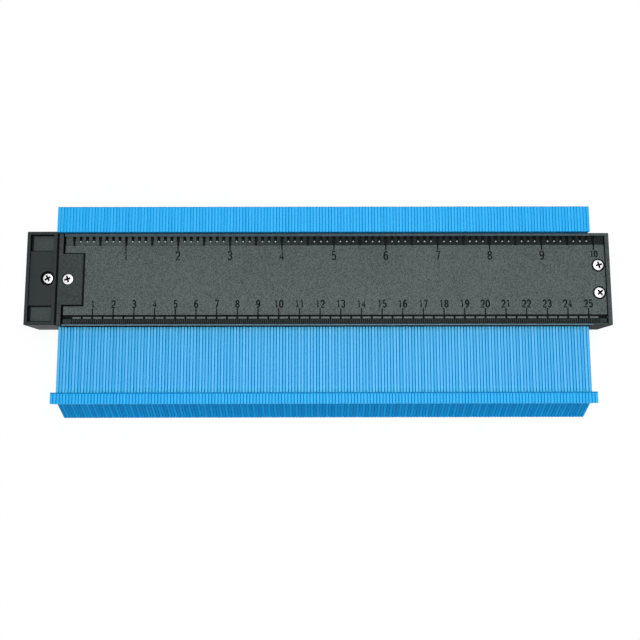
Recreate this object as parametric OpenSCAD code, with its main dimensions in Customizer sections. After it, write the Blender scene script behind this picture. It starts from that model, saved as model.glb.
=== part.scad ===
// Contour gauge: a bank of thin sliding fins held between a front and a rear frame half.
// The gauge lies on its back. X runs along the frame, Y along the slide of the fins, Z out of the ruler face.
// Origin: middle of the frame in X and Y, on its back face. Millimetres.

/* [Fins] */
// Number of fins in the stack
fin_count = 173; // [104:1:220]
// Distance from one fin to the next
fin_pitch = 1.5; // [1.2:0.05:2.4]
// Gap between neighbouring fins
fin_gap = 0.06; // [0.04:0.01:0.2]
// Chamfer along the long edges of a fin
fin_chamfer = 0.22; // [0.1:0.02:0.4]
// Length of the fin heads that stop on the upper edge of the frame
head_length = 12.6; // [8:0.2:20]
// Slide of a fin from its head stop to its foot stop
fin_travel = 31.6; // [20:0.1:45]
// Length of the foot ridge along the slide
ridge_length = 5.4; // [3:0.2:10]
// Length of the bevelled tip below the foot ridge
tip_length = 6.6; // [3:0.1:10]
// Flat depth of the foot in front of the bevel
foot_flat = 10.8; // [6:0.2:13]
// Depth of the fin web between the frame halves
web_depth = 8.4; // [6:0.2:10]
// Height of the fins' back edge above the surface that the frame lies on
fin_lift = 1; // [0.5:0.1:1.5]
// How far the heads and feet of the fins stand out in front of the frame's rim
fin_stand = 1.2; // [0:0.1:2.5]
// Number of fin groups that slide by themselves
group_count = 50; // [20:1:52]

/* [Frame] */
// Height of the frame along the slide
frame_height = 45.4; // [38:0.2:60]
// Depth of the frame from back face to front rim
frame_depth = 21; // [19:0.5:28]
// Clearance between a fin web and each frame half
web_clearance = 0.3; // [0.2:0.05:0.5]
// Clearance between the frame and a fin head or foot at its stop
stop_clearance = 0.4; // [0.3:0.05:1]
// Clearance at both ends of the fin stack
stack_clearance = 0.15; // [0.1:0.05:0.5]
// Thickness of the outer skin of a frame half
skin = 2.2; // [1.6:0.1:2.8]
// Thickness of the walls and ribs behind the skin
rib = 2; // [1.4:0.1:3]
// Wanted length of a cell between two cross ribs
cell_length = 30; // [20:1:50]
// Length of the right end block beyond the fin stack
end_block_length = 9.2; // [8:0.05:14]
// Chamfer along the long outer edges of the frame and the cap
edge_chamfer = 0.6; // [0.2:0.1:0.8]
// Width of the front rim along the upper edge
upper_rim_width = 1.5; // [0.9:0.1:2]
// Width of the front rim along the lower edge
lower_rim_width = 0.9; // [0.9:0.1:1.6]
// Width of the front rim on the right end
end_rim_width = 2; // [1:0.1:2.4]
// Height of the front rim above the ruler field
rim_height = 1.4; // [0.8:0.1:2]
// Depth of the scale bands below the ruler field
band_depth = 0.5; // [0.3:0.1:1]
// Width of the inch scale band along the upper rim
inch_band_width = 4.2; // [3:0.1:6]
// Width of the millimetre scale band along the lower rim
metric_band_width = 2.5; // [1.5:0.1:4]
// Width of the groove above the millimetre band
groove_width = 0.9; // [0.4:0.1:1.2]
// Width of the ridge between that groove and the millimetre band
ridge_width = 1; // [0.6:0.1:1.5]

/* [Left end cap] */
// Length of the end cap
cap_length = 14.6; // [14:0.05:20]
// How far the cap stands past the frame along both long edges
cap_margin = 0.3; // [0:0.1:1]
// How far the cap sits above the middle of the frame
cap_rise = 0.7; // [0:0.1:0.8]
// Width of the rim round the pocket of the cap
cap_rim = 1.6; // [1.2:0.1:2.4]
// Depth of the cap's screw land below its rim
land_depth = 1.4; // [0.8:0.1:2]
// Height of the screw land along the slide
land_height = 26.8; // [18:0.2:30]
// Depth of the two recesses beside the screw land
recess_depth = 3; // [2:0.1:3.4]
// Slide of the cap when its screw is slackened
cap_travel = 0.6; // [0.3:0.1:0.9]
// Clearance of the cap on the tail and the lip that guide it
cap_clearance = 0.15; // [0.1:0.05:0.3]
// Width of the tail of the rear frame inside the cap
tail_width = 22; // [16:0.5:30]
// Thickness of that tail
tail_thickness = 3.8; // [3:0.1:4.4]
// Wall of the cap left behind the end of the tail
tail_end_wall = 3; // [2:0.1:4]

/* [Keeper plate] */
// Open gap between the end cap and the keeper plate
keeper_gap = 1.1; // [1:0.1:2]
// Width of the full-height strip of the keeper
strip_width = 2; // [1.6:0.1:4]
// Length of the tongue beyond the strip
tongue_length = 9.8; // [9:0.1:14]
// Height of the tongue along the slide
tongue_height = 25; // [16:0.2:30]
// Gap round the tongue in the notch of the front frame
keeper_clearance = 0.6; // [0.2:0.05:0.8]
// Length of the lip that reaches into the end cap
lip_engagement = 2; // [1.5:0.1:3]
// Thickness of the lip
lip_thickness = 1.6; // [1:0.1:2]
// Height of the lip along the slide
lip_height = 36; // [20:1:37]

/* [Screws] */
// Diameter of the pan heads
screw_head_d = 5.5; // [4.8:0.1:6]
// Height of the pan heads
screw_head_h = 1.8; // [1.4:0.1:2]
// Diameter of the shanks
screw_d = 2.8; // [2.2:0.1:3.2]
// Radial clearance of a shank in its hole
screw_clearance = 0.1; // [0.05:0.05:0.2]
// Depth of the seats of the two screws of the right end
seat_depth = 0.9; // [0.5:0.1:1.2]
// Depth of the seat of the keeper screw
keeper_seat_depth = 1.4; // [0.8:0.1:1.8]
// Material left below the tip of a screw
tip_cover = 0.5; // [0.3:0.1:0.8]
// Distance of the right end screws from the right end
end_screw_inset = 5.3; // [5.2:0.1:7]
// Distance between the two right end screws
end_screw_spacing = 13.6; // [9:0.2:24]
// Distance of the cap screw from the left end
cap_screw_inset = 10.3; // [8:0.1:10.6]
// Distance of the keeper screw from the keeper's strip
keeper_screw_inset = 2.8; // [1.8:0.1:5]

/* [Hidden] */
$fn = 48;
FIXED_NODES = ["front_frame", "rear_frame", "left_end_cap", "keeper_plate", "end_cap_screw",
    "keeper_screw", "right_end_screws"];

frame_colour = "#34363a";
cap_colour = "#3a3c40";
keeper_colour = "#3f4145";
fin_colour = "#2f9be8";
screw_colour = "#d8d9dc";

// Cutting tools reach this far past the face they open
over = 1;

// Places along the frame, from the left end to the right end
stack_length = fin_count * fin_pitch;
body_length = cap_length + stack_length + 2 * stack_clearance + end_block_length;
left_x = -body_length / 2;
cap_x = left_x + cap_length;
stack_x = cap_x + stack_clearance;
strip_x = cap_x + keeper_gap;
strip_end_x = strip_x + strip_width;
front_x = strip_end_x + keeper_clearance;
tongue_end_x = strip_end_x + tongue_length;
notch_end_x = tongue_end_x + keeper_clearance;
block_x = stack_x + stack_length + stack_clearance;
right_x = block_x + end_block_length;
fin_thickness = fin_pitch - fin_gap;

// Places across the frame, along the slide of the fins
edge_y = frame_height / 2;
cap_edge_y = edge_y + cap_margin;
head_y = edge_y + stop_clearance;
head_end_y = head_y + head_length;
foot_y = -edge_y - stop_clearance - fin_travel;
ridge_end_y = foot_y - ridge_length;
tip_y = ridge_end_y - tip_length;

// Heights above the back face
field_z = frame_depth - rim_height;
band_z = field_z - band_depth;
web_back_z = (frame_depth - web_depth) / 2;
web_front_z = web_back_z + web_depth;
rear_inner_z = web_back_z - web_clearance;
front_inner_z = web_front_z + web_clearance;
split_z = frame_depth / 2;
fin_front_z = frame_depth + fin_stand;
tongue_floor_z = field_z - skin;
land_z = frame_depth - land_depth;
recess_z = frame_depth - recess_depth;
lip_z = front_inner_z;
tail_z = rear_inner_z - tail_thickness;

// Screws
hole_r = screw_d / 2 + screw_clearance;
seat_r = screw_head_d / 2 + 2 * screw_clearance;
cap_seat_r = seat_r + cap_travel;
end_screw_x = right_x - end_screw_inset;
cap_screw_x = left_x + cap_screw_inset;
keeper_screw_x = strip_end_x + keeper_screw_inset;
end_seat_z = field_z - seat_depth;
cap_seat_z = land_z - screw_head_h;
keeper_seat_z = frame_depth - keeper_seat_depth;
end_screw_tip_z = skin + tip_cover;
cap_screw_tip_z = tail_z + tip_cover;
keeper_screw_tip_z = front_inner_z + tip_cover;

function group_name(group) = str("fin_group_", group < 10 ? "0" : "", group);
function first_fin(group) = floor((group - 1) * fin_count / group_count);

// A block given by its lowest and highest corner
module block(low, high) {
    translate(low) cube(high - low);
}

// A bar along X that reaches half_height to both sides of its middle, with its two outer edges chamfered
module edge_bar(x_low, x_high, half_height, z_inner, z_outer) {
    chamfer_z = z_outer > z_inner ? z_outer - edge_chamfer : z_outer + edge_chamfer;
    translate([x_low, 0, 0]) rotate([90, 0, 90]) linear_extrude(x_high - x_low)
        polygon([
            [-half_height, z_inner], [half_height, z_inner], [half_height, chamfer_z],
            [half_height - edge_chamfer, z_outer], [edge_chamfer - half_height, z_outer],
            [-half_height, chamfer_z]
        ]);
}

// A bar along Y with four chamfered edges, from y_low to y_high and from z_low to z_high
module fin_bar(y_low, y_high, z_low, z_high) {
    depth = z_high - z_low;
    translate([0, y_high, z_low]) rotate([90, 0, 0]) linear_extrude(y_high - y_low)
        polygon([
            [fin_chamfer, 0], [fin_thickness - fin_chamfer, 0],
            [fin_thickness, fin_chamfer], [fin_thickness, depth - fin_chamfer],
            [fin_thickness - fin_chamfer, depth], [fin_chamfer, depth],
            [0, depth - fin_chamfer], [0, fin_chamfer]
        ]);
}

// The side outline of a foot: ridge in front, flat underside, then the bevel back to the tip
module foot_outline() {
    polygon([
        [foot_y, fin_lift], [foot_y, fin_front_z], [ridge_end_y, fin_front_z],
        [ridge_end_y, fin_front_z - foot_flat], [tip_y, fin_lift]
    ]);
}

// One fin: deep head and foot joined by a narrower web that runs between the frame halves
module fin() {
    fin_bar(head_y, head_end_y, fin_lift, fin_front_z);
    fin_bar(foot_y - ridge_length / 2, head_y + head_length / 2, web_back_z, web_front_z);
    intersection() {
        fin_bar(tip_y, foot_y, fin_lift, fin_front_z);
        rotate([90, 0, 90]) linear_extrude(fin_thickness) foot_outline();
    }
}

// The fins that slide together as one group
module fin_group(group) {
    color(fin_colour)
    for (index = [first_fin(group):first_fin(group + 1) - 1])
        translate([stack_x + index * fin_pitch + fin_gap / 2, 0, 0]) fin();
}

// Cells between the stiffening ribs, on the hidden inner side of a frame half
module rib_cells(x_low, x_high, z_low, z_high) {
    cells = max(1, round((x_high - x_low) / cell_length));
    pitch = (x_high - x_low + rib) / cells;
    for (cell = [0:cells - 1], side = [-1, 1])
        translate([x_low + cell * pitch, side < 0 ? rib - edge_y : rib / 2, z_low])
            cube([pitch - rib, edge_y - 1.5 * rib, z_high - z_low]);
}

module end_screw_places() {
    for (side = [-1, 1])
        translate([end_screw_x, side * end_screw_spacing / 2, 0]) children();
}

// Front half: ruler field sunk inside its rims, two scale bands, keeper notch and right end block
module front_frame() {
    low_y = -edge_y + lower_rim_width;
    metric_y = low_y + metric_band_width;
    field_y = metric_y + ridge_width;
    inch_y = edge_y - upper_rim_width;
    field_end_x = right_x - end_rim_width;
    color(frame_colour)
    difference() {
        union() {
            edge_bar(front_x, right_x, edge_y, front_inner_z, frame_depth);
            edge_bar(block_x, right_x, edge_y, split_z, frame_depth);
        }
        block([front_x - over, low_y, field_z], [field_end_x, inch_y, frame_depth + over]);
        block([front_x - over, inch_y - inch_band_width, band_z], [field_end_x, inch_y, frame_depth]);
        block([front_x - over, low_y, band_z], [field_end_x, metric_y, frame_depth]);
        block([front_x - over, field_y, band_z], [field_end_x, field_y + groove_width, frame_depth]);
        block(
            [front_x - over, -tongue_height / 2 - keeper_clearance, tongue_floor_z],
            [notch_end_x, tongue_height / 2 + keeper_clearance, frame_depth + over]
        );
        translate([0, 0, -over])
            rib_cells(notch_end_x + rib, block_x - rib, front_inner_z, tongue_floor_z + over);
        translate([keeper_screw_x, 0, 0]) cylinder(r = hole_r, h = frame_depth);
        end_screw_places() {
            cylinder(r = hole_r, h = frame_depth);
            translate([0, 0, end_seat_z]) cylinder(r = seat_r, h = frame_depth);
        }
    }
}

// Rear half: plain back, ribbed inner side, right end block and the tail that guides the end cap
module rear_frame() {
    color(frame_colour)
    difference() {
        union() {
            edge_bar(stack_x, right_x, edge_y, rear_inner_z, 0);
            edge_bar(block_x, right_x, edge_y, split_z, 0);
            block([left_x + tail_end_wall, -tail_width / 2, tail_z],
                [stack_x + over, tail_width / 2, rear_inner_z]);
        }
        rib_cells(stack_x + rib, block_x - rib, skin, rear_inner_z + over);
        end_screw_places() translate([0, 0, skin]) cylinder(r = hole_r, h = frame_depth);
        translate([cap_screw_x, cap_rise, 0]) cylinder(r = hole_r, h = frame_depth);
    }
}

// End cap: closes the left end and presses on the stack, sliding on the tail and under the lip
module left_end_cap() {
    pocket_y = cap_edge_y - cap_rim;
    color(cap_colour)
    difference() {
        translate([0, cap_rise, 0]) difference() {
            union() {
                edge_bar(left_x, cap_x, cap_edge_y, split_z, frame_depth);
                edge_bar(left_x, cap_x, cap_edge_y, split_z, 0);
            }
            block([left_x + cap_rim, -pocket_y, land_z],
                [cap_x - cap_rim, pocket_y, frame_depth + over]);
            for (side = [0, 1]) mirror([0, side, 0])
                block([left_x + cap_rim, land_height / 2, recess_z],
                    [cap_x - cap_rim, pocket_y, frame_depth]);
            translate([cap_screw_x, 0, cap_seat_z]) cylinder(r = cap_seat_r, h = frame_depth);
            translate([cap_screw_x, 0, rear_inner_z]) linear_extrude(frame_depth) {
                circle(hole_r);
                translate([cap_travel, 0]) circle(hole_r);
                translate([0, -hole_r]) square([cap_travel, 2 * hole_r]);
            }
        }
        block(
            [left_x + tail_end_wall - cap_clearance, -tail_width / 2 - cap_clearance, tail_z - cap_clearance],
            [cap_x + over, tail_width / 2 + cap_clearance, rear_inner_z + cap_clearance]
        );
        block(
            [cap_x - lip_engagement - cap_clearance, -lip_height / 2 - cap_clearance, lip_z - cap_clearance],
            [cap_x + over, lip_height / 2 + cap_clearance, lip_z + lip_thickness + cap_clearance]
        );
    }
}

// T-shaped keeper: full-height strip, screwed tongue, and the lip that holds the end cap down
module keeper_plate() {
    color(keeper_colour)
    difference() {
        union() {
            edge_bar(strip_x, strip_end_x, edge_y, lip_z, frame_depth);
            block([strip_x, -tongue_height / 2, tongue_floor_z],
                [tongue_end_x, tongue_height / 2, frame_depth]);
            block([cap_x - lip_engagement, -lip_height / 2, lip_z],
                [strip_end_x, lip_height / 2, lip_z + lip_thickness]);
        }
        translate([keeper_screw_x, 0, 0]) cylinder(r = hole_r, h = frame_depth);
        translate([keeper_screw_x, 0, keeper_seat_z]) cylinder(r = seat_r, h = frame_depth);
    }
}

// Pan-head screw with a cross recess, seated at seat_z and ending at tip_z
module pan_screw(seat_z, tip_z) {
    head_r = screw_head_d / 2;
    slot_length = screw_head_d * 0.6;
    slot_width = screw_d * 0.24;
    crown_r = head_r * 0.7;
    color(screw_colour)
    difference() {
        rotate_extrude() polygon([
            [0, tip_z], [screw_d / 4, tip_z], [screw_d / 2, tip_z + screw_d / 2],
            [screw_d / 2, seat_z], [head_r, seat_z], [head_r, seat_z + screw_head_h * 0.5],
            [crown_r, seat_z + screw_head_h], [0, seat_z + screw_head_h]
        ]);
        for (turn = [0, 90]) rotate(turn)
            translate([-slot_length / 2, -slot_width / 2, seat_z + screw_head_h * 0.4])
                cube([slot_length, slot_width, screw_head_h]);
    }
}

module end_cap_screw() {
    translate([cap_screw_x, cap_rise, 0]) pan_screw(cap_seat_z, cap_screw_tip_z);
}

module keeper_screw() {
    translate([keeper_screw_x, 0, 0]) pan_screw(keeper_seat_z, keeper_screw_tip_z);
}

module right_end_screws() {
    end_screw_places() pan_screw(end_seat_z, end_screw_tip_z);
}

front_frame();
rear_frame();
left_end_cap();
keeper_plate();
end_cap_screw();
keeper_screw();
right_end_screws();
for (group = [1:group_count])
    fin_group(group);
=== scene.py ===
"""Looks of the contour gauge: rounded fins, an engraved ruler face, plated screws, studio and camera."""
import math
import random

import bmesh
import bpy
from mathutils import Matrix, Vector


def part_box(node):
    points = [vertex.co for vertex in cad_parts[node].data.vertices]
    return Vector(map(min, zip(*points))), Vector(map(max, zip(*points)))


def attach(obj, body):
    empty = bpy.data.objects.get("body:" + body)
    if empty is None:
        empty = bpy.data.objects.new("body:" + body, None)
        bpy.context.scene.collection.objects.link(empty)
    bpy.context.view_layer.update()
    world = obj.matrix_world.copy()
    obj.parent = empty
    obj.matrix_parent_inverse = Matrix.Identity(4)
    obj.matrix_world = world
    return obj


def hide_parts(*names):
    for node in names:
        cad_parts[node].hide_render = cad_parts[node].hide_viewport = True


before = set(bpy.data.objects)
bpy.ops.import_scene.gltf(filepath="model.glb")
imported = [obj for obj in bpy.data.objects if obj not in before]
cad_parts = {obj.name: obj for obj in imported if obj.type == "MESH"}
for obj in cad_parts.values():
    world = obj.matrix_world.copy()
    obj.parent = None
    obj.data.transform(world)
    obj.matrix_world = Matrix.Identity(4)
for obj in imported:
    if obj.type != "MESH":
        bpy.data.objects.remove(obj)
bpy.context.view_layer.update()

MM = 0.001
random.seed(7)

# A face or an edge this close to a level counts as lying on it
NEAR = 0.05 * MM
# Edges up to this length stay sharp, and on a fin they take the small rounding of its ends
SHORT_EDGE = 1.0 * MM
SHARP_ANGLE = math.radians(50)
FLAT_ANGLE = math.radians(1)
WELD_DISTANCE = 1e-6

# Places read from the frame, in metres
FRONT_LOW, FRONT_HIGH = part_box("front_frame")
EDGE_Y = FRONT_HIGH.y
RIM_Z = FRONT_HIGH.z
GROUPS = sorted(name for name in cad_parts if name.startswith("fin_group_"))
FINS_END_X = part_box(GROUPS[-1])[1].x

# Ruler face, in metres
RIM_HEIGHT = 1.4 * MM
BAND_DEPTH = 0.5 * MM
UPPER_RIM_WIDTH = 1.5 * MM
LOWER_RIM_WIDTH = 0.9 * MM
END_RIM_WIDTH = 2.0 * MM
INCH_BAND_WIDTH = 4.2 * MM
METRIC_BAND_WIDTH = 2.5 * MM
RIDGE_WIDTH = 1.0 * MM
GROOVE_WIDTH = 0.9 * MM
# Rounding of the lower front edge, which carries a painted highlight
LOWER_EDGE_ROUNDING = 0.4 * MM
FACE_ROUNDING = 0.16 * MM
OUTER_ROUNDING = 0.2 * MM
FIELD_Z = RIM_Z - RIM_HEIGHT
BAND_Z = FIELD_Z - BAND_DEPTH
# Faces above the first level belong to the rims, and edges above the second are on show
RIM_FACE_Z = FIELD_Z + 1.0 * MM
SHOWN_Z = FIELD_Z - 0.7 * MM
INCH_BAND_TOP = EDGE_Y - UPPER_RIM_WIDTH
INCH_BAND_LOW = INCH_BAND_TOP - INCH_BAND_WIDTH
METRIC_BAND_LOW = -EDGE_Y + LOWER_RIM_WIDTH
METRIC_BAND_TOP = METRIC_BAND_LOW + METRIC_BAND_WIDTH
RIDGE_TOP = METRIC_BAND_TOP + RIDGE_WIDTH
GROOVE_TOP = RIDGE_TOP + GROOVE_WIDTH
END_RIM_X = FRONT_HIGH.x - END_RIM_WIDTH

# Scales, in metres; marks are given by their half width, their ends and the depth below their face
INCH_ZERO_X = -119.4 * MM
INCH = 25.4 * MM
INCH_COUNT = 10
EIGHTHS = 8
SLOT_HALF_WIDTH = 0.75 * MM
SLOT_LOW = 19.05 * MM
SLOT_DEPTH = 0.6 * MM
HALF_INCH_HALF_WIDTH = 0.55 * MM
HALF_INCH_LOW = 16.75 * MM
HALF_INCH_DEPTH = 0.5 * MM
INCH_LINE_HALF_WIDTH = 0.32 * MM
INCH_LINE_LOW = 14.4 * MM
METRIC_ZERO_X = -119.2 * MM
CENTIMETRE = 10 * MM
CENTIMETRE_COUNT = 25
MILLIMETRES = 10
LAST_MILLIMETRES = 5
TICK_HALF_WIDTH = 0.24 * MM
TICK_MARGIN = 0.1 * MM
TICK_DEPTH = 0.3 * MM
RIDGE_GAP_HALF_WIDTH = 0.5 * MM
RIDGE_GAP_DEPTH = 0.02 * MM
RIDGE_END_MARGIN = 0.06 * MM
RIDGE_END_DEPTH = 0.05 * MM
RIDGE_END_GAP = 0.2 * MM
CENTIMETRE_LINE_HALF_WIDTH = 0.3 * MM
CENTIMETRE_LINE_TOP = -14.2 * MM
ENGRAVING_DEPTH = 0.35 * MM
# Marks that meet overlap by this much
MARK_OVERLAP = 0.05 * MM
# A cut that runs out of the frame's end goes on by this much
CUT_REACH = 1.0 * MM
# A shallow dish round each right-end screw; its cut walls take painted shade, a dark ring round the screw
DISH_RADII = (2.8 * MM, 3.4 * MM)
DISH_DEPTH = 0.6 * MM
DISH_SINK = 0.15 * MM
# Pips at the lower ends of the eighth-inch slots, painted bright as the highlight of the lit slot ends
PIP_Y = 18.8 * MM
PIP_RADII = (0.45 * MM, 0.3 * MM)
PIP_HEIGHT = 0.8 * MM
PIP_SEGMENTS = 12

# Numbers, in metres; sizes are multiples of a digit's own size, and the last inch number clears a screw
INCH_DIGIT_TOP = 13.84 * MM
INCH_DIGIT_SIZE = 1.2
LAST_INCH_SIZE = 0.85
METRIC_DIGIT_Y = -12.05 * MM
METRIC_DIGIT_SIZE = 1.0
DIGIT_HEIGHT = 3.4 * MM
DIGIT_WIDTH = 1.5 * MM
DIGIT_STEP = 2.4 * MM
STROKE_RADIUS = 0.42 * MM
STROKE_RISE = STROKE_RADIUS / 4

# Each digit as one stroke in a unit cell, x to the right and y up
DIGIT_STROKES = {
    "0": [(.5, 1), (.85, .9), (1, .65), (1, .35), (.85, .1), (.5, 0), (.15, .1), (0, .35), (0, .65),
          (.15, .9), (.5, 1)],
    "1": [(.2, .78), (.6, 1), (.6, 0)],
    "2": [(0, .75), (.15, .93), (.5, 1), (.85, .93), (1, .72), (.9, .52), (0, 0), (1, 0)],
    "3": [(0, .86), (.3, 1), (.7, 1), (.97, .8), (.85, .6), (.5, .53), (.87, .44), (1, .22), (.75, .03),
          (.4, 0), (0, .14)],
    "4": [(1, .3), (0, .3), (.7, 1), (.7, 0)],
    "5": [(.9, 1), (.15, 1), (.1, .56), (.5, .62), (.9, .5), (1, .28), (.8, .05), (.45, 0), (0, .12)],
    "6": [(.9, .93), (.55, 1), (.2, .85), (0, .5), (.02, .25), (.25, .03), (.6, 0), (.95, .15), (.98, .4),
          (.7, .58), (.3, .55), (.1, .42)],
    "7": [(0, 1), (1, 1), (.4, 0)],
    "8": [(.5, .53), (.12, .66), (.1, .88), (.5, 1), (.9, .88), (.88, .66), (.5, .53), (.95, .4), (1, .17),
          (.5, 0), (0, .17), (.05, .4), (.5, .53)],
    "9": [(.9, .58), (.7, .45), (.3, .42), (.02, .6), (.05, .85), (.4, 1), (.75, .97), (1, .75), (1, .5),
          (.8, .15), (.45, 0), (.1, .07)],
}

# Fins, in metres
FIN_PITCH = 1.5 * MM
FIN_GAP = 0.06 * MM
# Each side of a fin stands out by this much, so that the pale floor doesn't shine through the gaps
FIN_SWELL = 0.025 * MM
FIN_ROUNDING = 0.22 * MM
FIN_END_ROUNDING = 0.1 * MM
FIN_END_CHAMFER = 0.3 * MM
# Slope of the upper edge of the foot ridge, along the slide; this edge takes painted shade
RIDGE_SLOPE = 0.7 * MM
STOP_GAP = 0.4 * MM
FIN_TRAVEL = 31.6 * MM
RIDGE_LENGTH = 5.4 * MM
FOOT_FLAT = 10.8 * MM
WEB_DEPTH = 8.4 * MM
# A fin is shorter at both ends by up to this much, by chance
FIN_JITTER = 0.05 * MM
FIN_SMOOTH_ANGLE = math.radians(40)
HEAD_Y = EDGE_Y + STOP_GAP
FOOT_Y = -EDGE_Y - STOP_GAP - FIN_TRAVEL

# End cap, in metres
CAP_LAND_DEPTH = 1.4 * MM
CAP_RECESS_DEPTH = 3.0 * MM
POCKET_MARGIN = 0.5 * MM
# Width of the painted shade along the border of a recess floor
RECESS_BORDER = 0.4 * MM
# The painted shade round a recess leaves out the side this close to the upper end of the pocket
UPPER_RIM_REACH = 3.0 * MM
# Faces with a smaller upward share of their normal are walls; inside a pocket they take painted shade
WALL_SLOPE = 0.3

# Screws, in metres and radians
SCREW_HEAD_HEIGHT = 1.8 * MM
SCREW_SHANK_RADIUS = 1.4 * MM
SEAT_RADIUS = 3.7 * MM
SCREW_SEGMENTS = 48
# Crown of a pan head from its middle outwards, as (share of the radius, depth below the top)
HEAD_CROWN = [(0, 0), (0.6, 0.04 * MM), (0.8, 0.16 * MM), (0.93, 0.45 * MM), (1, 0.95 * MM)]
HEAD_EDGE = 0.15 * MM
HEAD_SEAT_SHARE = 0.95
TIP_TAPER = 0.4 * MM
TIP_SHARE = 0.7
# Upper and lower end of a cross drive, as (length, width, height over the top of the head)
CROSS_MOUTH = (3.7 * MM, 1.0 * MM, 0.1 * MM)
CROSS_FLOOR = (1.3 * MM, 0.6 * MM, -1.1 * MM)
SCREW_TURNS = {"end_cap_screw": [0.5], "keeper_screw": [0.3], "right_end_screws": [0.25, 0.7]}

# Studio, in metres and watts
FLOOR_HALF_SIZE = 2.0
FLOOR_COLOUR = (0.95, 0.95, 0.95, 1)
# Share of the floor that the camera sees as plain white; the rest takes the shadow
FLOOR_GLOW = 0.92
WORLD_LIGHT = 0.3
SOFTBOX_PLACE = (0.08, 0.0, 0.9)
SOFTBOX_SIZE = (0.9, 0.5)
SOFTBOX_WATTS = 8.2

# Camera, in metres and radians, as fitted to the scale marks and the corners of the frame
IMAGE_PX = 640
FOCAL_PX = 740.3
SENSOR_WIDTH = 36.0
CAMERA_X = -0.33 * MM
CAMERA_Y = -65.95 * MM
CAMERA_ABOVE_FIELD = 354.5 * MM
CAMERA_TILT = 0.129
CAMERA_YAW = 0.003
CAMERA_ROLL = 0.002


# Materials: scales count features per metre, levels and colours are linear

PLASTIC_TINT = (0.82, 1.0, 1.0)
# Blue tint of painted light thrown by the blue fins onto black edges
PAINTED_FIN_BOUNCE_TINT = (0.8, 1.25, 1.5)
GRAIN_DETAIL = 3.0
CLOUD_SCALE = 40.0
CLOUD_SHARE = 0.06
GRAIN_LOW, GRAIN_HIGH = 0.38, 0.62
GLOSS_SPREAD = 0.08
GRAIN_HEIGHT = 0.15 * MM
STREAK_SCALE = 900.0
STREAK_STRETCH = (1.0, 0.02, 1.0)
STREAK_SHARE = 0.45
SHADE_LOW, SHADE_HIGH = 0.1, 0.9
FIN_GRAIN_SCALE = 2500.0
FIN_GRAIN_STRENGTH = 0.08
FIN_GRAIN_HEIGHT = 0.1 * MM
PLATE_SCALE = 3000.0
PLATE_STOPS = [(0.3, (0.78, 0.78, 0.79)), (0.7, (0.9, 0.9, 0.91))]
PLATE_STRENGTH = 0.1
PLATE_HEIGHT = 0.05 * MM
PLATE_ROUGHNESS = 0.22


def shader_material(name):
    """A new material with its node tree, its links and its principled shader."""
    material = bpy.data.materials.new(name)
    material.use_nodes = True
    nodes = material.node_tree.nodes
    return material, nodes, material.node_tree.links, nodes["Principled BSDF"]


def noise_node(nodes, links, scale, detail=2.0, stretch=(1, 1, 1)):
    """A noise in object space."""
    place = nodes.new("ShaderNodeTexCoord")
    mapping = nodes.new("ShaderNodeMapping")
    mapping.inputs["Scale"].default_value = stretch
    noise = nodes.new("ShaderNodeTexNoise")
    noise.inputs["Scale"].default_value = scale
    noise.inputs["Detail"].default_value = detail
    links.new(place.outputs["Object"], mapping.inputs["Vector"])
    links.new(mapping.outputs["Vector"], noise.inputs["Vector"])
    return noise


def ramp_node(nodes, links, source, stops):
    """A colour ramp over a grey source; stops are (position, colour)."""
    ramp = nodes.new("ShaderNodeValToRGB")
    elements = ramp.color_ramp.elements
    while len(elements) < len(stops):
        elements.new(0.5)
    for element, (position, colour) in zip(elements, stops):
        element.position = position
        element.color = (*colour, 1)
    links.new(source, ramp.inputs["Fac"])
    return ramp


def bump_node(nodes, links, source, strength, distance):
    """A surface relief from a grey source."""
    bump = nodes.new("ShaderNodeBump")
    bump.inputs["Strength"].default_value = strength
    bump.inputs["Distance"].default_value = distance
    links.new(source, bump.inputs["Height"])
    return bump


def faded(nodes, links, colour, axis, start, end, gain):
    """The colour, multiplied by a gain that sets in along an axis."""
    place = nodes.new("ShaderNodeTexCoord")
    split = nodes.new("ShaderNodeSeparateXYZ")
    factor = nodes.new("ShaderNodeMapRange")
    factor.inputs["From Min"].default_value = start
    factor.inputs["From Max"].default_value = end
    gains = nodes.new("ShaderNodeVectorMath")
    gains.operation = "MULTIPLY_ADD"
    gains.inputs[1].default_value = [channel - 1 for channel in gain]
    gains.inputs[2].default_value = (1, 1, 1)
    scaled = nodes.new("ShaderNodeVectorMath")
    scaled.operation = "MULTIPLY"
    links.new(place.outputs["Object"], split.inputs["Vector"])
    links.new(split.outputs[axis], factor.inputs["Value"])
    links.new(factor.outputs["Result"], gains.inputs[0])
    links.new(colour, scaled.inputs[0])
    links.new(gains.outputs["Vector"], scaled.inputs[1])
    return scaled.outputs["Vector"]


def grey(level, tint=(1.0, 1.0, 1.0)):
    """A grey colour with a tint."""
    return tuple(level * channel for channel in tint)


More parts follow.
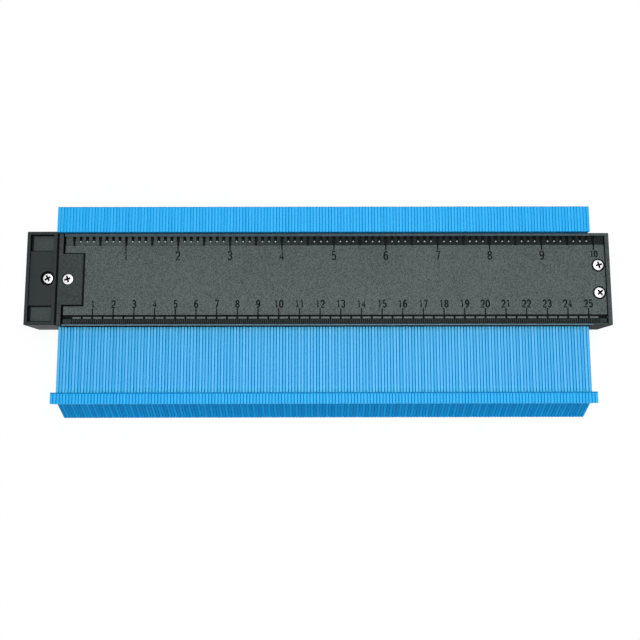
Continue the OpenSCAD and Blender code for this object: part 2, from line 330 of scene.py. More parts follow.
def moulded_plastic(name, level, spread, roughness, grain_scale, grain_strength, specular=0.1, fades=(),
                    tint=PLASTIC_TINT):
    """Black-grey moulded plastic: grain in the colour, the gloss and the surface.

    Each fade (axis, start, end, gain) changes the colour along an axis.
    """
    material, nodes, links, shader = shader_material(name)
    grain = noise_node(nodes, links, grain_scale, GRAIN_DETAIL)
    cloud = noise_node(nodes, links, CLOUD_SCALE)
    mixed = nodes.new("ShaderNodeMix")
    mixed.data_type = "FLOAT"
    mixed.inputs["Factor"].default_value = CLOUD_SHARE
    links.new(grain.outputs["Fac"], mixed.inputs["A"])
    links.new(cloud.outputs["Fac"], mixed.inputs["B"])
    stops = [(GRAIN_LOW, grey(level - spread, tint)), (GRAIN_HIGH, grey(level + spread, tint))]
    colour = ramp_node(nodes, links, mixed.outputs["Result"], stops).outputs["Color"]
    for fade in fades:
        colour = faded(nodes, links, colour, *fade)
    gloss = nodes.new("ShaderNodeMapRange")
    gloss.inputs["To Min"].default_value = roughness - GLOSS_SPREAD
    gloss.inputs["To Max"].default_value = roughness + GLOSS_SPREAD
    links.new(grain.outputs["Fac"], gloss.inputs["Value"])
    bump = bump_node(nodes, links, grain.outputs["Fac"], grain_strength, GRAIN_HEIGHT)
    links.new(colour, shader.inputs["Base Color"])
    links.new(gloss.outputs["Result"], shader.inputs["Roughness"])
    links.new(bump.outputs["Normal"], shader.inputs["Normal"])
    shader.inputs["Specular IOR Level"].default_value = specular
    return material


def fin_plastic(name, dark, light, roughness, specular, fades=()):
    """Bright blue plastic: each fin has its own shade, with faint streaks along the slide.

    Each fade (axis, start, end, gain) changes the colour along an axis.
    """
    material, nodes, links, shader = shader_material(name)
    place = nodes.new("ShaderNodeNewGeometry")
    streaks = noise_node(nodes, links, STREAK_SCALE, stretch=STREAK_STRETCH)
    mixed = nodes.new("ShaderNodeMix")
    mixed.data_type = "FLOAT"
    mixed.inputs["Factor"].default_value = STREAK_SHARE
    links.new(place.outputs["Random Per Island"], mixed.inputs["A"])
    links.new(streaks.outputs["Fac"], mixed.inputs["B"])
    stops = [(SHADE_LOW, dark), (SHADE_HIGH, light)]
    colour = ramp_node(nodes, links, mixed.outputs["Result"], stops).outputs["Color"]
    for fade in fades:
        colour = faded(nodes, links, colour, *fade)
    fine = noise_node(nodes, links, FIN_GRAIN_SCALE)
    bump = bump_node(nodes, links, fine.outputs["Fac"], FIN_GRAIN_STRENGTH, FIN_GRAIN_HEIGHT)
    links.new(colour, shader.inputs["Base Color"])
    links.new(bump.outputs["Normal"], shader.inputs["Normal"])
    shader.inputs["Roughness"].default_value = roughness
    shader.inputs["Specular IOR Level"].default_value = specular
    return material


def plated_steel():
    """Bright zinc plate with fine turning marks."""
    material, nodes, links, shader = shader_material("plated_steel")
    marks = noise_node(nodes, links, PLATE_SCALE)
    colour = ramp_node(nodes, links, marks.outputs["Fac"], PLATE_STOPS)
    bump = bump_node(nodes, links, marks.outputs["Fac"], PLATE_STRENGTH, PLATE_HEIGHT)
    links.new(colour.outputs["Color"], shader.inputs["Base Color"])
    links.new(bump.outputs["Normal"], shader.inputs["Normal"])
    shader.inputs["Metallic"].default_value = 1.0
    shader.inputs["Roughness"].default_value = PLATE_ROUGHNESS
    return material


# Name, level, spread, roughness, grain scale, grain strength, specular, fades, tint
# The field is darker towards its upper rim: painted shade
FIELD_PLASTIC = moulded_plastic("ruler_field_plastic", 0.092, 0.045, 0.62, 2525.0, 0.35, 0.1,
                                [("Y", -10 * MM, 17 * MM, grey(0.9))])
RIM_PLASTIC = moulded_plastic("rim_plastic", 0.06, 0.02, 0.5, 1500.0, 0.15)
# The long rims take painted blue light from the fins
LONG_RIM_PLASTIC = moulded_plastic("long_rim_plastic", 0.06, 0.02, 0.5, 1500.0, 0.15, tint=PAINTED_FIN_BOUNCE_TINT)
# The inch band is lighter at its left end: a painted reflection of the lamp
SCALE_PLASTIC = moulded_plastic("inch_band_plastic", 0.07, 0.02, 0.5, 1500.0, 0.05, 0.02,
                                [("X", -60 * MM, 0.0, grey(0.25))])
# Inner wall of the upper rim: painted light, far lighter than the rims and fading towards the right
INCH_WALL_LIGHT_PLASTIC = moulded_plastic("inch_wall_painted_light", 0.2, 0.05, 0.5, 1500.0, 0.05, 0.02,
                               [("X", -60 * MM, 60 * MM, grey(0.3))])
METRIC_PLASTIC = moulded_plastic("metric_band_plastic", 0.042, 0.012, 0.55, 1500.0, 0.05, 0.02)
BAND_PLASTIC = moulded_plastic("smooth_band_plastic", 0.016, 0.004, 0.55, 2500.0, 0.05, 0.02)
CAP_PLASTIC = moulded_plastic("end_cap_plastic", 0.032, 0.007, 0.5, 2500.0, 0.1, 0.08)
KEEPER_PLASTIC = moulded_plastic("keeper_plastic", 0.045, 0.012, 0.5, 1500.0, 0.12, 0.08)
RECESS_PLASTIC = moulded_plastic("cap_recess_plastic", 0.058, 0.012, 0.5, 1500.0, 0.12, 0.08)
# Near-black painted shade for hollows: the walls of the engraved marks and numbers, the groove above the
# ridge, the screw seats and dishes, the pocket walls and the border round each recess floor
PAINTED_SHADE_PLASTIC = moulded_plastic("painted_shade_plastic", 0.005, 0.003, 0.6, 1500.0, 0.1, 0.05)
# The ridge is painted lighter as a highlight
RIDGE_HIGHLIGHT_PLASTIC = moulded_plastic("ridge_painted_highlight", 0.12, 0.04, 0.4, 2000.0, 0.1)
# Lower front edge: a painted highlight on the rounding that fades down the wall into near-black painted
# shade, tinted with painted blue light from the fins
LOWER_EDGE_LIGHT_PLASTIC = moulded_plastic("lower_edge_painted_highlight_and_shade", 0.18, 0.05, 0.85, 2000.0, 0.1, 0.0,
                                    [("Z", RIM_Z - 0.3 * MM, RIM_Z - 1.6 * MM, grey(0.02))], PAINTED_FIN_BOUNCE_TINT)
# Bright pips: a painted highlight
PIP_HIGHLIGHT_PLASTIC = moulded_plastic("pip_painted_highlight", 0.45, 0.08, 0.4, 2000.0, 0.1)
RECESS_STEEL = moulded_plastic("screw_recess_shade", 0.008, 0.004, 0.5, 3000.0, 0.2, 0.03)
# Name, dark and light shade, roughness, specular, fades
FIN_PLASTIC = fin_plastic("fin_blue", (0.012, 0.36, 0.78), (0.035, 0.46, 0.92), 0.32, 0.1)
# Web: a whiter light shade as a painted highlight, and lifted as painted light near the ridge and below
# the frame's lower edge, where they shade it
WEB_LIGHT_PLASTIC = fin_plastic("web_blue_painted_light", (0.02, 0.36, 0.71), (0.12, 0.51, 0.89), 0.32, 0.13,
                          [("Y", FOOT_Y + 4 * MM, FOOT_Y, (1.25, 1.45, 1.12)),
                           ("Y", -EDGE_Y - 3.5 * MM, -EDGE_Y, (1.8, 1.35, 1.1))])
# Darker blue in the grooves between fins and on the end chamfers: painted shade
GROOVE_SHADE_PLASTIC = fin_plastic("fin_groove_painted_shade", (0.004, 0.16, 0.43), (0.012, 0.25, 0.57), 0.5, 0.03)
# Darker blue on the bevelled tips: painted shade of the downward-facing bevel
TIP_SHADE_PLASTIC = fin_plastic("tip_blue_painted_shade", (0.0, 0.2, 0.52), (0.006, 0.4, 0.9), 0.5, 0.01)
FIN_FINISHES = [FIN_PLASTIC, WEB_LIGHT_PLASTIC, TIP_SHADE_PLASTIC, GROOVE_SHADE_PLASTIC]
STEEL = plated_steel()


# Mesh helpers

def add_object(name, mesh, materials, body, replaced=()):
    """A new piece that rides on a body, takes the given materials and may stand for CAD nodes."""
    for material in materials:
        mesh.materials.append(material)
    piece = bpy.data.objects.new(name, mesh)
    bpy.context.scene.collection.objects.link(piece)
    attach(piece, body)
    if replaced:
        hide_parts(*replaced)


def add_box(bm, low, high):
    """An axis-aligned box between two corners."""
    size = Vector(high) - Vector(low)
    middle = (Vector(high) + Vector(low)) / 2
    place = Matrix.Translation(middle) @ Matrix.Diagonal((*size, 1))
    bmesh.ops.create_cube(bm, size=1.0, matrix=place)


def softened_copy(node, *roundings):
    """A bmesh of a CAD node with sharp edges rounded; each rounding is (radius, test of an edge)."""
    bm = bmesh.new()
    bm.from_mesh(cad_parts[node].data)
    bmesh.ops.remove_doubles(bm, verts=bm.verts, dist=WELD_DISTANCE)
    bmesh.ops.dissolve_limit(bm, angle_limit=FLAT_ANGLE, verts=bm.verts, edges=bm.edges)
    for radius, chosen in roundings:
        sharp = [edge for edge in bm.edges
                 if len(edge.link_faces) == 2 and edge.calc_face_angle() > SHARP_ANGLE and chosen(edge)]
        bmesh.ops.bevel(bm, geom=sharp, offset=radius, offset_type="OFFSET", segments=2, profile=0.5,
                        affect="EDGES", clamp_overlap=False)
    return bm


def to_mesh(bm, name, smooth_angle=0.0):
    """The finished mesh of a bmesh; edges flatter than smooth_angle are shaded smooth."""
    bmesh.ops.recalc_face_normals(bm, faces=bm.faces)
    mesh = bpy.data.meshes.new(name)
    bm.to_mesh(mesh)
    bm.free()
    stored = mesh.attributes.get("custom_normal")
    if stored:
        mesh.attributes.remove(stored)
    mesh.polygons.foreach_set("use_smooth", [smooth_angle > 0] * len(mesh.polygons))
    if smooth_angle:
        mesh.set_sharp_from_angle(angle=smooth_angle)
    return mesh


# Fins

def fin_outline(low, high):
    """Side outline of a fin, with its head, web and bevelled foot.

    Each point is (y, z, finish of the edge that starts there).
    """
    middle_z = RIM_Z / 2
    web_back = middle_z - WEB_DEPTH / 2
    web_front = middle_z + WEB_DEPTH / 2
    ridge_end_y = FOOT_Y - RIDGE_LENGTH
    chamfer_z = high.z - FIN_END_CHAMFER
    # The chamfers at the top end of the head and along the upper edge of the ridge take painted shade
    return [
        (high.y, low.z, FIN_PLASTIC), (high.y, chamfer_z, GROOVE_SHADE_PLASTIC),
        (high.y - FIN_END_CHAMFER, high.z, FIN_PLASTIC), (HEAD_Y, high.z, FIN_PLASTIC),
        (HEAD_Y, web_front, WEB_LIGHT_PLASTIC), (FOOT_Y, web_front, FIN_PLASTIC),
        (FOOT_Y, chamfer_z, GROOVE_SHADE_PLASTIC), (FOOT_Y - RIDGE_SLOPE, high.z, FIN_PLASTIC),
        (ridge_end_y, high.z, FIN_PLASTIC), (ridge_end_y, high.z - FOOT_FLAT, TIP_SHADE_PLASTIC),
        (low.y, low.z, FIN_PLASTIC), (FOOT_Y, low.z, FIN_PLASTIC), (FOOT_Y, web_back, WEB_LIGHT_PLASTIC),
        (HEAD_Y, web_back, FIN_PLASTIC), (HEAD_Y, low.z, FIN_PLASTIC),
    ]


def lengthwise(start, end):
    """Whether an edge of the outline runs along the slide."""
    return abs(start[0] - end[0]) > SHORT_EDGE


def inset_outline(outline, share):
    """The outline's points moved inwards by a share of the rounding of each edge."""
    sides = []
    for start, end in zip(outline, outline[1:] + outline[:1]):
        normal = Vector((start[1] - end[1], end[0] - start[0])).normalized()
        depth = FIN_ROUNDING if lengthwise(start, end) else FIN_END_ROUNDING
        sides.append((normal, normal.x * start[0] + normal.y * start[1] + share * depth))
    points = []
    for (normal, reach), (next_normal, next_reach) in zip(sides[-1:] + sides[:-1], sides):
        cross = normal.x * next_normal.y - normal.y * next_normal.x
        points.append(((reach * next_normal.y - next_reach * normal.y) / cross,
                       (next_reach * normal.x - reach * next_normal.x) / cross))
    return points


def add_fin(bm, outline, x_low, x_high, shortening):
    """One fin with rounded long edges, shortened a little at both ends."""
    # Halfway round a quarter circle, as a share of its radius
    slope = 1 - math.sqrt(0.5)
    stations = [(x_low, 1), (x_low + slope * FIN_ROUNDING, slope), (x_low + FIN_ROUNDING, 0),
                (x_high - FIN_ROUNDING, 0), (x_high - slope * FIN_ROUNDING, slope), (x_high, 1)]
    rings = [[bm.verts.new((x, y - math.copysign(shortening, y), z))
              for y, z in inset_outline(outline, share)]
             for x, share in stations]
    bm.faces.new(rings[0][::-1])
    bm.faces.new(rings[-1])
    count = len(outline)
    for strip, (ring, next_ring) in enumerate(zip(rings, rings[1:])):
        for i, start in enumerate(outline):
            j = (i + 1) % count
            face = bm.faces.new((ring[i], ring[j], next_ring[j], next_ring[i]))
            # The groove between two fins takes painted shade, and is narrower on the heads
            wide_strips = (1, 3) if min(start[0], outline[j][0]) < HEAD_Y else (1,)
            in_groove = strip in (0, 4) or strip in wide_strips and lengthwise(start, outline[j])
            face.material_index = FIN_FINISHES.index(GROOVE_SHADE_PLASTIC if in_groove else start[2])


def fin_pieces():
    """One piece for each fin group."""
    for group in GROUPS:
        low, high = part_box(group)
        count = round((high.x - low.x + FIN_GAP) / FIN_PITCH)
        bm = bmesh.new()
        for index in range(count):
            x = low.x + index * FIN_PITCH
            add_fin(bm, fin_outline(low, high), x - FIN_SWELL, x + FIN_PITCH - FIN_GAP + FIN_SWELL,
                    random.uniform(0, FIN_JITTER))
        add_object(group.replace("group", "bank"), to_mesh(bm, group, FIN_SMOOTH_ANGLE), FIN_FINISHES,
                   group, [group])


# Screw places

def screw_places(node):
    """The axes of the one or two screws of a node, from its upper end to its lower."""
    low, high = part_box(node)
    diameter = high.x - low.x
    radius = diameter / 2
    middle_x = (low.x + high.x) / 2
    if high.y - low.y < 2 * diameter:
        return [Vector((middle_x, (low.y + high.y) / 2, 0))]
    return [Vector((middle_x, high.y - radius, 0)), Vector((middle_x, low.y + radius, 0))]


def in_seat(point, places, top_z):
    """Whether a point lies in the counterbore round a screw, below the face that it opens on."""
    return point.z < top_z - NEAR and any(
        (point.xy - place.xy).length < SEAT_RADIUS for place in places)


# Ruler face

def number_strokes(curve, number, x, y, size):
    """Adds a number's digits to a curve as round strokes, centred on a point of the ruler field."""
    digits = str(number)
    width, height, step = size * DIGIT_WIDTH, size * DIGIT_HEIGHT, size * DIGIT_STEP
    left = x - (len(digits) - 1) * step / 2 - width / 2
    for place, digit in enumerate(digits):
        points = DIGIT_STROKES[digit]
        spline = curve.splines.new("POLY")
        spline.points.add(len(points) - 1)
        for point, (u, v) in zip(spline.points, points):
            point.co = (left + place * step + u * width, y + (v - 0.5) * height, FIELD_Z + STROKE_RISE, 1)


def number_mesh():
    """All the numbers of both scales as round strokes that cut into the ruler field."""
    curve = bpy.data.curves.new("numbers", "CURVE")
    curve.dimensions = "3D"
    curve.bevel_depth = STROKE_RADIUS
    curve.bevel_resolution = 1
    curve.use_fill_caps = True
    for number in range(1, INCH_COUNT + 1):
        size = INCH_DIGIT_SIZE if number < INCH_COUNT else LAST_INCH_SIZE
        middle_y = INCH_DIGIT_TOP - size * DIGIT_HEIGHT / 2
        number_strokes(curve, number, INCH_ZERO_X + number * INCH, middle_y, size)
    for number in range(1, CENTIMETRE_COUNT + 1):
        number_strokes(curve, number, METRIC_ZERO_X + number * CENTIMETRE, METRIC_DIGIT_Y,
                       METRIC_DIGIT_SIZE)
    maker = bpy.data.objects.new("numbers", curve)
    mesh = bpy.data.meshes.new_from_object(maker)
    bpy.data.objects.remove(maker)
    bpy.data.curves.remove(curve)
    return mesh


def mark_cutter():
    """All the scale marks and numbers as one cutting tool."""
    bm = bmesh.new()
    top_z = FIELD_Z + ENGRAVING_DEPTH
    line_z = FIELD_Z - ENGRAVING_DEPTH

    def mark(x, half_width, low_y, high_y, low_z):
        add_box(bm, (x - half_width, low_y, low_z), (x + half_width, high_y, top_z))

    for step in range(INCH_COUNT * EIGHTHS + 1):
        x = INCH_ZERO_X + step * INCH / EIGHTHS
        mark(x, SLOT_HALF_WIDTH, SLOT_LOW, INCH_BAND_TOP, BAND_Z - SLOT_DEPTH)
        if step % (EIGHTHS // 2) == 0:
            mark(x, HALF_INCH_HALF_WIDTH, HALF_INCH_LOW, SLOT_LOW + MARK_OVERLAP, BAND_Z - HALF_INCH_DEPTH)
        if step % EIGHTHS == 0 and step:
            mark(x, INCH_LINE_HALF_WIDTH, INCH_LINE_LOW, HALF_INCH_LOW + MARK_OVERLAP, line_z)
    last_tick = CENTIMETRE_COUNT * MILLIMETRES + LAST_MILLIMETRES
    for step in range(last_tick + 1):
        x = METRIC_ZERO_X + step * CENTIMETRE / MILLIMETRES
        mark(x, TICK_HALF_WIDTH, METRIC_BAND_LOW + TICK_MARGIN, METRIC_BAND_TOP - TICK_MARGIN,
             BAND_Z - TICK_DEPTH)
        if step % (MILLIMETRES // 2) == 0:
            mark(x, RIDGE_GAP_HALF_WIDTH, METRIC_BAND_TOP - MARK_OVERLAP, RIDGE_TOP + MARK_OVERLAP,
                 BAND_Z - RIDGE_GAP_DEPTH)
        if step % MILLIMETRES == 0 and step:
            mark(x, CENTIMETRE_LINE_HALF_WIDTH, GROOVE_TOP - MARK_OVERLAP, CENTIMETRE_LINE_TOP, line_z)
    # The ridge runs only as far as the millimetre scale
    ridge_end_x = METRIC_ZERO_X + last_tick * CENTIMETRE / MILLIMETRES
    for low_x, high_x in ((FRONT_LOW.x - CUT_REACH, METRIC_ZERO_X),
                          (ridge_end_x, END_RIM_X - RIDGE_END_GAP)):
        add_box(bm, (low_x, METRIC_BAND_TOP - RIDGE_END_MARGIN, BAND_Z - RIDGE_END_DEPTH),
                (high_x, RIDGE_TOP + RIDGE_END_MARGIN, top_z))
    # A shallow dish round each right-end screw cuts a ring of painted shade
    for place in screw_places("right_end_screws"):
        bmesh.ops.create_cone(bm, cap_ends=True, segments=SCREW_SEGMENTS, radius1=DISH_RADII[0],
                              radius2=DISH_RADII[1], depth=DISH_DEPTH,
                              matrix=Matrix.Translation((place.x, place.y, FIELD_Z - DISH_SINK)))
    bm.from_mesh(number_mesh())
    # Every cut wall takes the near-black painted shade
    for face in bm.faces:
        face.material_index = 0
    mesh = bpy.data.meshes.new("mark_cutter")
    bm.to_mesh(mesh)
    bm.free()
    mesh.materials.append(PAINTED_SHADE_PLASTIC)
    return bpy.data.objects.new("mark_cutter", mesh)


def cut(mesh, cutter, materials):
    """A copy of mesh with the cutter's shape taken out; the cut walls take the cutter's material."""
    for material in materials:
        mesh.materials.append(material)
    target = bpy.data.objects.new("engraved", mesh)
    for piece in (target, cutter):
        bpy.context.scene.collection.objects.link(piece)
    boolean = target.modifiers.new("engrave", "BOOLEAN")
    boolean.operation = "DIFFERENCE"
    boolean.solver = "EXACT"
    boolean.object = cutter
    boolean.use_self = True
    boolean.material_mode = "TRANSFER"
    depsgraph = bpy.context.evaluated_depsgraph_get()
    result = bpy.data.meshes.new_from_object(target.evaluated_get(depsgraph))
    for piece in (target, cutter):
        bpy.data.objects.remove(piece)
    return result


def front_piece():
    """Front frame half with rounded rims, grained field, smooth bands and engraved marks."""
    def on_show(edge):
        middle = (edge.verts[0].co + edge.verts[1].co) / 2
        at_split = abs(middle.z - RIM_Z / 2) < 2 * NEAR
        return (middle.z > SHOWN_Z or at_split) and edge.calc_length() > SHORT_EDGE

    def worn(edge):
        return all(vert.co.y < -EDGE_Y + NEAR and vert.co.z > RIM_Z - NEAR for vert in edge.verts)

    bm = softened_copy("front_frame", (LOWER_EDGE_ROUNDING, worn), (FACE_ROUNDING, on_show))
    # The painted highlight on the lower front edge ends with the fins
    bmesh.ops.bisect_plane(bm, geom=bm.verts[:] + bm.edges[:] + bm.faces[:], plane_co=(FINS_END_X, 0, 0),
                           plane_no=(1, 0, 0))
    materials = [BAND_PLASTIC, FIELD_PLASTIC, RIDGE_HIGHLIGHT_PLASTIC, SCALE_PLASTIC, RIM_PLASTIC, PAINTED_SHADE_PLASTIC,
                 LONG_RIM_PLASTIC, INCH_WALL_LIGHT_PLASTIC, METRIC_PLASTIC, LOWER_EDGE_LIGHT_PLASTIC]
    seats = screw_places("right_end_screws")
    for face in bm.faces:
        middle = face.calc_center_median()
        at_field = abs(middle.z - FIELD_Z) < NEAR
        at_band = abs(middle.z - BAND_Z) < NEAR
        if at_field and GROOVE_TOP < middle.y < INCH_BAND_LOW:
            finish = FIELD_PLASTIC
        # The top of the ridge takes a painted highlight
        elif at_field and METRIC_BAND_TOP < middle.y < RIDGE_TOP:
            finish = RIDGE_HIGHLIGHT_PLASTIC
        elif at_band and middle.y > INCH_BAND_LOW:
            finish = SCALE_PLASTIC
        # The groove above the ridge and the screw seats take painted shade
        elif at_band and RIDGE_TOP < middle.y < GROOVE_TOP or in_seat(middle, seats, FIELD_Z):
            finish = PAINTED_SHADE_PLASTIC
        elif at_band and middle.y < METRIC_BAND_TOP:
            finish = METRIC_PLASTIC
        elif middle.z > RIM_Z - NEAR and middle.y < METRIC_BAND_LOW:
            finish = BAND_PLASTIC
        # The lower front edge takes its painted highlight and shade as far as the fins reach
        elif middle.y < -EDGE_Y + LOWER_EDGE_ROUNDING and middle.x < FINS_END_X:
            finish = LOWER_EDGE_LIGHT_PLASTIC
        elif middle.z > RIM_FACE_Z and middle.y > INCH_BAND_TOP:
            finish = LONG_RIM_PLASTIC
        # The inner wall of the upper rim takes painted light
        elif middle.z > BAND_Z and abs(middle.y - INCH_BAND_TOP) < NEAR:
            finish = INCH_WALL_LIGHT_PLASTIC
        elif middle.z > RIM_FACE_Z:
            finish = RIM_PLASTIC
        else:
            finish = BAND_PLASTIC
        face.material_index = materials.index(finish)
    mesh = cut(to_mesh(bm, "front_shell"), mark_cutter(), materials)
    mesh.name = "front_shell"
    add_object("front_shell", mesh, [], "frame", ["front_frame"])


def pip_pieces():
    """Small pips at the lower ends of the eighth-inch slots, painted bright as the highlight of the lit
    slot ends.
    """
    bm = bmesh.new()
    for step in range(1, INCH_COUNT * EIGHTHS):
        if step % (EIGHTHS // 2) == 0:
            continue
        place = Vector((INCH_ZERO_X + step * INCH / EIGHTHS, PIP_Y, FIELD_Z - PIP_HEIGHT / 2))
        bmesh.ops.create_cone(bm, cap_ends=True, segments=PIP_SEGMENTS, radius1=PIP_RADII[0],
                              radius2=PIP_RADII[1], depth=PIP_HEIGHT, matrix=Matrix.Translation(place))
    add_object("inch_pips", to_mesh(bm, "inch_pips"), [PIP_HIGHLIGHT_PLASTIC], "frame")


def recess_border(bm, floor_z, top_y):
    """The faces of a narrow border cut round each recess floor, apart from those along the upper rim; the
    border takes painted shade.
    """
    floors = [face for face in bm.faces if abs(face.calc_center_median().z - floor_z) < NEAR]
    inset = bmesh.ops.inset_individual(bm, faces=floors, thickness=RECESS_BORDER, use_even_offset=True)
    return {face for face in inset["faces"] if face.calc_center_median().y < top_y}


def plain_piece(node, name, body, material, screws=None, seat_top=0.0, floor_z=0.0):
    """A CAD node with rounded long edges, painted shade in its screw seats, on its pocket walls and round
    its recess floors, and its own recess finish.
    """
    def outer(edge):
        return edge.calc_length() > SHORT_EDGE

    bm = softened_copy(node, (OUTER_ROUNDING, outer))
    seats = screw_places(screws) if screws else []
    low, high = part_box(node)
    margin = Vector((POCKET_MARGIN, POCKET_MARGIN, 0))
    low, high = low + margin, high - margin
    border = recess_border(bm, floor_z, high.y - UPPER_RIM_REACH) if floor_z else set()
    bm.normal_update()
    for face in bm.faces:
        middle = face.calc_center_median()
        inside = low.x < middle.x < high.x and low.y < middle.y < high.y
        pocket_wall = floor_z and middle.z > floor_z and inside and abs(face.normal.z) < WALL_SLOPE
        # Screw seats, pocket walls and the border of each recess floor take painted shade
        if face in border or in_seat(middle, seats, seat_top) or pocket_wall:
            face.material_index = 1
        elif floor_z and abs(middle.z - floor_z) < NEAR:
            face.material_index = 2
        else:
            face.material_index = 0
    add_object(name, to_mesh(bm, name), [material, PAINTED_SHADE_PLASTIC, RECESS_PLASTIC], body, [node])


# Screws

def pan_head_mesh(radius, top_z, seat_z, tip_z):
    """A pan-head screw on the Z axis, without its drive."""
    shank = SCREW_SHANK_RADIUS
    profile = [(share * radius, top_z - depth) for share, depth in HEAD_CROWN]
    profile += [(radius, seat_z + HEAD_EDGE), (HEAD_SEAT_SHARE * radius, seat_z), (shank, seat_z),
                (shank, tip_z + TIP_TAPER), (TIP_SHARE * shank, tip_z), (0, tip_z)]
    bm = bmesh.new()
    verts = [bm.verts.new((r, 0, z)) for r, z in profile]
    edges = [bm.edges.new(pair) for pair in zip(verts, verts[1:])]
    bmesh.ops.spin(bm, geom=verts + edges, cent=(0, 0, 0), axis=(0, 0, 1), angle=2 * math.pi,
                   steps=SCREW_SEGMENTS, use_merge=True)
    bmesh.ops.remove_doubles(bm, verts=bm.verts, dist=WELD_DISTANCE)
    return to_mesh(bm, "screw")


def cross_cutter(top_z, turn):
    """The tapered cross drive of a screw head as a cutting tool."""
    bm = bmesh.new()
    for quarter in (0, 1):
        part = bmesh.ops.create_cube(bm, size=1.0)["verts"]
        for vert in part:
            length, width, height = CROSS_MOUTH if vert.co.z > 0 else CROSS_FLOOR
            vert.co = (vert.co.x * length, vert.co.y * width, top_z + height)
        spin = Matrix.Rotation(turn + quarter * math.pi / 2, 3, "Z")
        bmesh.ops.rotate(bm, verts=part, cent=(0, 0, 0), matrix=spin)
    mesh = bpy.data.meshes.new("cross_cutter")
    bmesh.ops.recalc_face_normals(bm, faces=bm.faces)
    bm.to_mesh(mesh)
    bm.free()
    mesh.materials.append(RECESS_STEEL)
    return bpy.data.objects.new("cross_cutter", mesh)


def screw_mesh(place, radius, top_z, tip_z, turn):
    """One screw with its cross drive, on its axis."""
    seat_z = top_z - SCREW_HEAD_HEIGHT
    mesh = cut(pan_head_mesh(radius, top_z, seat_z, tip_z), cross_cutter(top_z, turn), [STEEL])
    mesh.transform(Matrix.Translation((place.x, place.y, 0)))
    return mesh


def joined(meshes, name):
    """One mesh of several that share the same materials."""
    bm = bmesh.new()
    for mesh in meshes:
        bm.from_mesh(mesh)
    whole = bpy.data.meshes.new(name)
    bm.to_mesh(whole)
    bm.free()
    for material in meshes[0].materials:
        whole.materials.append(material)
    return whole


def screw_pieces():
    """One piece for each screw node."""
    for node, turns in SCREW_TURNS.items():
        low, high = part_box(node)
        radius = (high.x - low.x) / 2
        meshes = [screw_mesh(place, radius, high.z, low.z, turn)
                  for place, turn in zip(screw_places(node), turns)]
        whole = joined(meshes, node)
        add_object(node.replace("screw", "pan_head"), whole, [], "frame", [node])


# Stage

def seen_share(nodes, links, hidden, seen):
    """One value for rays that light the object, another for what the camera, reflections and glass see."""
    path = nodes.new("ShaderNodeLightPath")
    level = path.outputs["Is Camera Ray"]
    for ray in ("Is Glossy Ray", "Is Transmission Ray"):
        either = nodes.new("ShaderNodeMath")
        either.operation = "MAXIMUM"
        links.new(level, either.inputs[0])
        links.new(path.outputs[ray], either.inputs[1])
        level = either.outputs[0]
    share = nodes.new("ShaderNodeMapRange")
    share.inputs["To Min"].default_value = hidden
    share.inputs["To Max"].default_value = seen
    links.new(level, share.inputs["Value"])
    return share.outputs["Result"]


def floor_material():
    """Pale floor that reads white to the camera and still takes a soft shadow."""
    material, nodes, links, shader = shader_material("pale_floor")
    nodes.remove(shader)
    output = nodes["Material Output"]
    diffuse = nodes.new("ShaderNodeBsdfDiffuse")
    diffuse.inputs["Color"].default_value = FLOOR_COLOUR
    glow = nodes.new("ShaderNodeEmission")
    glow.inputs["Strength"].default_value = 1.0
    mixed = nodes.new("ShaderNodeMixShader")
    links.new(seen_share(nodes, links, 0.0, FLOOR_GLOW), mixed.inputs["Fac"])
    links.new(diffuse.outputs["BSDF"], mixed.inputs[1])
    links.new(glow.outputs["Emission"], mixed.inputs[2])
    links.new(mixed.outputs["Shader"], output.inputs["Surface"])
    return material


def floor():
    """The floor under the gauge."""
    bm = bmesh.new()
    bmesh.ops.create_grid(bm, x_segments=1, y_segments=1, size=FLOOR_HALF_SIZE)
    mesh = bpy.data.meshes.new("floor")
    bm.to_mesh(mesh)
    bm.free()
    mesh.materials.append(floor_material())
    plane = bpy.data.objects.new("floor", mesh)
    bpy.context.scene.collection.objects.link(plane)


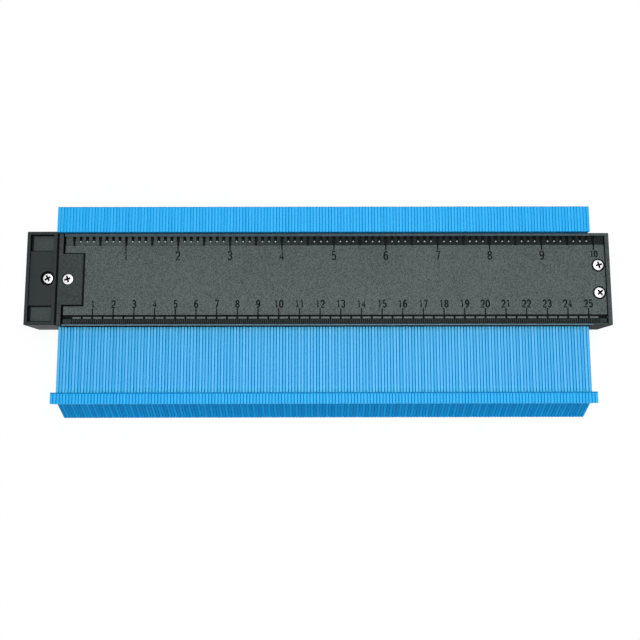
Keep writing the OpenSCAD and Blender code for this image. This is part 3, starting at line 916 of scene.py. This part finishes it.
def world_light():
    """White surroundings: full white to the camera and in reflections, weaker as light."""
    world = bpy.data.worlds.new("studio")
    bpy.context.scene.world = world
    world.use_nodes = True
    nodes = world.node_tree.nodes
    links = world.node_tree.links
    background = nodes["Background"]
    background.inputs["Color"].default_value = (1, 1, 1, 1)
    links.new(seen_share(nodes, links, WORLD_LIGHT, 1.0), background.inputs["Strength"])


def area_light(name, place, aim, size, power):
    """A rectangular lamp that points at a place."""
    lamp = bpy.data.lights.new(name, "AREA")
    lamp.shape = "RECTANGLE"
    lamp.size, lamp.size_y = size
    lamp.energy = power
    holder = bpy.data.objects.new(name, lamp)
    holder.location = place
    holder.rotation_euler = (Vector(aim) - Vector(place)).to_track_quat("-Z", "Y").to_euler()
    bpy.context.scene.collection.objects.link(holder)


def camera():
    """The photograph's camera, fitted to the scale marks."""
    lens = bpy.data.cameras.new("camera")
    lens.sensor_width = SENSOR_WIDTH
    lens.lens = FOCAL_PX / IMAGE_PX * SENSOR_WIDTH
    forward = Vector((math.sin(CAMERA_YAW), math.sin(CAMERA_TILT), -math.cos(CAMERA_TILT))).normalized()
    right = forward.cross(Vector((math.sin(CAMERA_ROLL), 1, 0))).normalized()
    up = right.cross(forward)
    turn = Matrix((right, up, -forward)).transposed().to_4x4()
    holder = bpy.data.objects.new("camera", lens)
    place = Vector((CAMERA_X, CAMERA_Y, FIELD_Z + CAMERA_ABOVE_FIELD))
    holder.matrix_world = Matrix.Translation(place) @ turn
    bpy.context.scene.collection.objects.link(holder)
    bpy.context.scene.camera = holder


fin_pieces()
front_piece()
plain_piece("rear_frame", "rear_shell", "frame", BAND_PLASTIC)
plain_piece("left_end_cap", "end_cap_shell", "end_cap", CAP_PLASTIC, "end_cap_screw",
            RIM_Z - CAP_LAND_DEPTH, RIM_Z - CAP_RECESS_DEPTH)
plain_piece("keeper_plate", "keeper_shell", "frame", KEEPER_PLASTIC, "keeper_screw", RIM_Z)
pip_pieces()
screw_pieces()
floor()
world_light()
area_light("softbox", SOFTBOX_PLACE, (0, 0, 0), SOFTBOX_SIZE, SOFTBOX_WATTS)
camera()
bpy.context.scene.view_settings.view_transform = "Standard"
